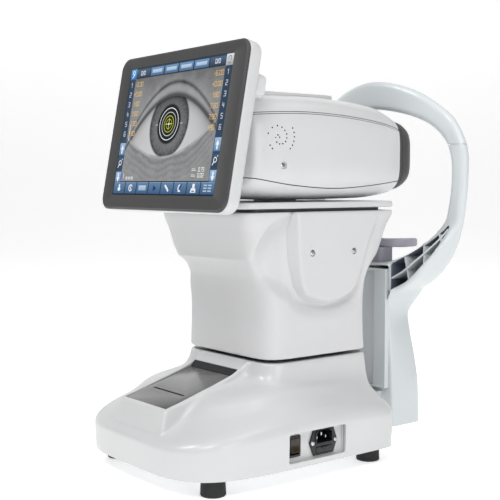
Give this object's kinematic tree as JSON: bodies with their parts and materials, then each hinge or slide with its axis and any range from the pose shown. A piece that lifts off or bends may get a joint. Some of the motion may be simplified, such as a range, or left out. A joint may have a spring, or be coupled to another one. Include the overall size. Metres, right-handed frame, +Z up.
{
  "type": "autorefractor",
  "caption": "Table-top eye-refraction instrument: tilting touch screen, optical head on a sliding column, base with receipt printer, headrest hoop and chin rest.",
  "frame": {"origin": "on the table, under the middle of the whole instrument, at the foot of its four rubber feet", "axes": "+X to the operator's right, +Y from the operator to the patient, +Z up"},
  "size_m": [0.2972, 0.44, 0.4986],
  "materials": {
    "white": "glossy moulded white, very fine texture",
    "column_white": "off-white moulded plastic with a fine grain",
    "headrest_grey": "bluish grey-white moulded plastic",
    "charcoal": "fine matt texture",
    "lid_grey": "satin grey",
    "black_plastic": "semi-matt black",
    "black_gloss": "polished black",
    "motor_body": "black stepper motor housing",
    "rubber": "matt black rubber",
    "paper": "thermal paper roll",
    "chin_grey": "satin lilac grey",
    "pad_silicone": "soft pale silicone",
    "screen_glass": "touch screen, lit",
    "window_glass": "coated optical glass",
    "circuit_board": "green solder mask",
    "steel": "bright steel",
    "aluminium": "machined aluminium"
  },
  "bodies": {
    "base": {"base_cover": "white", "base_plate": "steel", "foot_front_left": "rubber", "foot_front_right": "rubber", "foot_rear_left": "rubber", "foot_rear_right": "rubber", "connector_panel": "white", "power_inlet": "black_plastic", "inlet_screw_front": "steel", "inlet_screw_rear": "steel", "rocker_frame": "black_plastic", "printer_frame": "charcoal", "power_supply": "aluminium", "main_board": "circuit_board", "stage_frame": "aluminium", "x_motor": "motor_body", "headrest_frame": "headrest_grey", "pedestal_cover": "headrest_grey", "headrest_bracket": "white", "forehead_pad": "pad_silicone", "chin_motor": "motor_body"},
    "fuse_drawer": {"fuse_drawer": "black_plastic"},
    "power_rocker": {"power_rocker": "black_plastic"},
    "printer_lid": {"printer_lid": "lid_grey"},
    "platen_roller": {"platen_roller": "rubber"},
    "paper_roll": {"paper_roll": "paper"},
    "chin_rest": {"chin_cup": "chin_grey", "chin_post": "chin_grey"},
    "x_leadscrew": {"x_leadscrew": "steel"},
    "x_carriage": {"x_carriage": "aluminium", "y_motor": "motor_body"},
    "dust_shield": {"dust_shield": "charcoal"},
    "y_leadscrew": {"y_leadscrew": "steel"},
    "column": {"y_stage": "aluminium", "column_shell": "column_white", "side_cover_right": "column_white", "side_cover_left": "column_white", "side_screw_right_front": "steel", "side_screw_right_rear": "steel", "side_screw_left_front": "steel", "side_screw_left_rear": "steel", "column_top_plate": "white", "z_motor": "motor_body", "lift_guide": "aluminium"},
    "z_leadscrew": {"z_leadscrew": "steel"},
    "head": {"lift_mast": "aluminium", "head_top_cover": "white", "head_bottom_cover": "white", "head_side_right": "white", "head_side_left": "white", "speaker": "black_plastic", "patient_bezel": "charcoal", "patient_face": "black_gloss", "objective_window": "window_glass", "optics_unit": "black_plastic", "monitor_bracket": "aluminium"},
    "monitor": {"monitor_bezel": "charcoal", "display_panel": "screen_glass", "monitor_rear_shell": "white", "monitor_rear_boss": "column_white"}
  },
  "joints": [
    {"name": "x_slide", "type": "slide", "parent": "base", "child": "x_carriage", "axis": [1, 0, 0], "range_m": [-0.04, 0.04]},
    {"name": "y_slide", "type": "slide", "parent": "x_carriage", "child": "column", "axis": [0, 1, 0], "range_m": [-0.036, 0]},
    {"name": "head_lift", "type": "slide", "parent": "column", "child": "head", "axis": [0, 0, 1], "range_m": [0, 0.03]},
    {"name": "monitor_tilt", "type": "hinge", "parent": "head", "child": "monitor", "pos_m": [0, -0.131, 0.412], "axis": [1, 0, 0], "range_deg": [-20, 12]},
    {"name": "chin_lift", "type": "slide", "parent": "base", "child": "chin_rest", "axis": [0, 0, 1], "range_m": [-0.015, 0.04]},
    {"name": "lid_hinge", "type": "hinge", "parent": "base", "child": "printer_lid", "pos_m": [0, -0.106, 0.10839], "axis": [-1, 0, 0], "range_deg": [0, 75]},
    {"name": "platen_spin", "type": "hinge", "parent": "printer_lid", "child": "platen_roller", "pos_m": [0, -0.161, 0.08874], "axis": [1, 0, 0], "continuous": true},
    {"name": "paper_spin", "type": "hinge", "parent": "base", "child": "paper_roll", "pos_m": [0, -0.133, 0.066], "axis": [1, 0, 0], "continuous": true},
    {"name": "rocker_tilt", "type": "hinge", "parent": "base", "child": "power_rocker", "pos_m": [0.12, -0.0785, 0.0445], "axis": [0, 1, 0], "range_deg": [0, 16]},
    {"name": "fuse_slide", "type": "slide", "parent": "base", "child": "fuse_drawer", "axis": [1, 0, 0], "range_m": [0, 0.018]},
    {"name": "shield_slide", "type": "slide", "parent": "base", "child": "dust_shield", "axis": [1, 0, 0], "range_m": [-0.02, 0.02]},
    {"name": "x_screw_spin", "type": "hinge", "parent": "base", "child": "x_leadscrew", "pos_m": [0, 0, 0.084], "axis": [1, 0, 0], "continuous": true},
    {"name": "y_screw_spin", "type": "hinge", "parent": "x_carriage", "child": "y_leadscrew", "pos_m": [0, 0, 0.103], "axis": [0, 1, 0], "continuous": true},
    {"name": "z_screw_spin", "type": "hinge", "parent": "column", "child": "z_leadscrew", "pos_m": [0, 0.03, 0.24], "axis": [0, 0, 1], "continuous": true}
  ],
  "couplings": [
    {"joint": "shield_slide", "follows": "x_slide", "ratio": 0.5},
    {"joint": "x_screw_spin", "follows": "x_slide", "rad_per_m": 314.16},
    {"joint": "y_screw_spin", "follows": "y_slide", "rad_per_m": 314.16},
    {"joint": "z_screw_spin", "follows": "head_lift", "rad_per_m": 314.16},
    {"joint": "platen_spin", "follows": "paper_spin", "ratio": -3.8}
  ]
}
